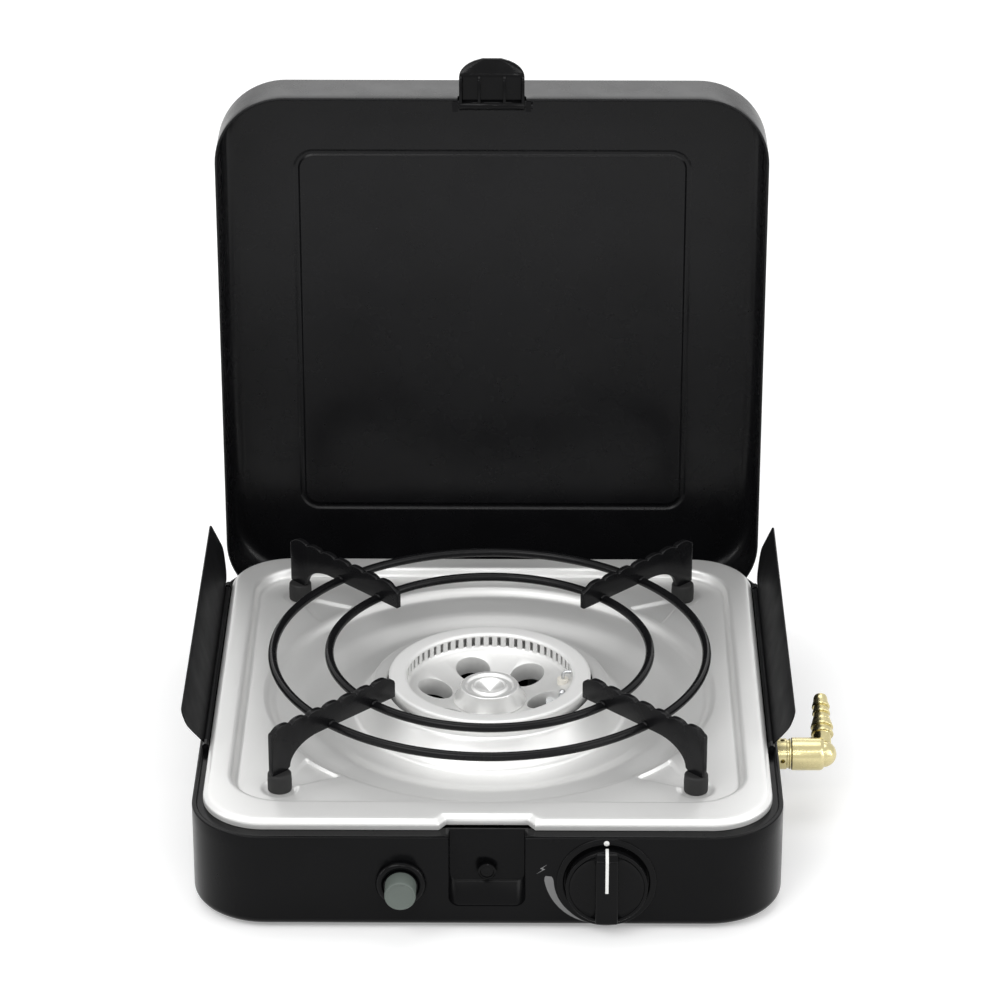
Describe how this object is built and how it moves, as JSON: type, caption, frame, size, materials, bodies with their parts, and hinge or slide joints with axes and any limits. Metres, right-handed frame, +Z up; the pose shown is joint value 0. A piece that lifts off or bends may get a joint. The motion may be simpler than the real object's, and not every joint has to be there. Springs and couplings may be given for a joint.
{
  "type": "camping stove",
  "caption": "Tabletop gas stove in a shallow box with a hinged lid, folding side windshields, one ring burner and a loose wire pan support.",
  "frame": {"origin": "middle of the casing in plan, at the level of the table under the rubber feet; the casing's flat underside is 2.5 mm above it", "axes": "+X to the right, towards the gas inlet; +Y to the rear, towards the lid's hinge; +Z up"},
  "size_m": [0.3403, 0.3611, 0.3528],
  "materials": {
    "black_paint": "satin",
    "stainless": "brushed",
    "burner_aluminium": "satin",
    "zinc_steel": "satin",
    "zinc_alloy": "matte",
    "black_enamel": "satin",
    "brass": "satin",
    "yellow_brass": "satin",
    "black_rubber": "matte",
    "black_plastic": "semi_gloss",
    "grey_plastic": "satin",
    "white_plastic": "matte",
    "white_ceramic": "matte"
  },
  "bodies": {
    "stove": {"base_casing": "black_paint", "table_feet": "black_rubber", "cooktop": "stainless", "standoffs": "zinc_steel", "floor_screws": "zinc_steel", "burner_cup": "burner_aluminium", "burner_ring": "burner_aluminium", "burner_cap": "burner_aluminium", "burner_cap_nut": "zinc_steel", "burner_stand": "zinc_steel", "mixing_tube": "zinc_steel", "air_shutter": "zinc_steel", "jet_holder": "brass", "gas_jet": "brass", "jet_bracket": "zinc_steel", "valve_body": "zinc_alloy", "valve_nut": "zinc_steel", "magnet_unit": "brass", "jet_pipe": "zinc_alloy", "gas_pipe": "zinc_alloy", "knob_bezel": "black_plastic", "igniter_body": "black_plastic", "igniter_collar": "black_plastic", "electrode_ceramic": "white_ceramic", "electrode_wire": "zinc_steel", "thermocouple": "zinc_steel", "ignition_lead": "black_rubber", "thermocouple_lead": "brass", "hinge_bracket_left": "zinc_steel", "hinge_bracket_right": "zinc_steel", "hinge_pins": "zinc_steel", "latch_stud": "black_plastic", "windshield_clips": "black_paint", "windshield_rods": "zinc_steel", "inlet_union": "yellow_brass", "inlet_nut": "yellow_brass"},
    "lid": {"lid": "black_paint", "hinge_straps": "black_paint", "strap_rivets": "black_paint", "latch_bracket": "black_paint", "latch_pin": "zinc_steel"},
    "latch": {"latch": "black_plastic"},
    "windshield_left": {"windshield_left": "black_paint"},
    "windshield_right": {"windshield_right": "black_paint"},
    "pan_support": {"outer_ring": "black_enamel", "inner_ring": "black_enamel", "support_arms": "black_paint", "support_feet": "black_rubber"},
    "valve_plunger": {"valve_plunger": "brass"},
    "knob": {"control_knob": "black_plastic", "knob_pointer": "white_plastic", "valve_spindle": "brass"},
    "igniter_button": {"igniter_button": "grey_plastic"},
    "hose_elbow": {"hose_elbow": "yellow_brass"}
  },
  "joints": [
    {"name": "lid_hinge", "type": "hinge", "parent": "stove", "child": "lid", "pos_m": [0, 0.1387, 0.0376], "axis": [1, 0, 0], "range_deg": [0, 90]},
    {"name": "windshield_left_fold", "type": "hinge", "parent": "stove", "child": "windshield_left", "pos_m": [-0.1466, 0.0265, 0.0561], "axis": [0, 1, 0], "range_deg": [0, 84]},
    {"name": "windshield_right_fold", "type": "hinge", "parent": "stove", "child": "windshield_right", "pos_m": [0.1466, 0.0265, 0.0561], "axis": [0, -1, 0], "range_deg": [0, 84]},
    {"name": "latch_hinge", "type": "hinge", "parent": "lid", "child": "latch", "pos_m": [0, 0.1576, 0.3258], "axis": [1, 0, 0], "range_deg": [0, 90]},
    {"name": "pan_support_lift", "type": "slide", "parent": "stove", "child": "pan_support", "axis": [0, 0, -1], "range_m": [-0.06, 0]},
    {"name": "knob_press", "type": "slide", "parent": "stove", "child": "valve_plunger", "axis": [0, 1, 0], "range_m": [0, 0.002], "stiffness_N_per_m": 1500},
    {"name": "knob_turn", "type": "hinge", "parent": "valve_plunger", "child": "knob", "pos_m": [0.06, -0.13, 0.029], "axis": [0, -1, 0], "range_deg": [0, 150]},
    {"name": "igniter_press", "type": "slide", "parent": "stove", "child": "igniter_button", "axis": [0, 1, 0], "range_m": [0, 0.004], "stiffness_N_per_m": 1500},
    {"name": "inlet_swivel", "type": "hinge", "parent": "stove", "child": "hose_elbow", "pos_m": [0.165, -0.03, 0.033], "axis": [1, 0, 0], "range_deg": [-45, 155]}
  ],
  "couplings": [
    {"joint": "windshield_left_fold", "follows": "lid_hinge", "ratio": 0.9333},
    {"joint": "windshield_right_fold", "follows": "lid_hinge", "ratio": 0.9333}
  ]
}
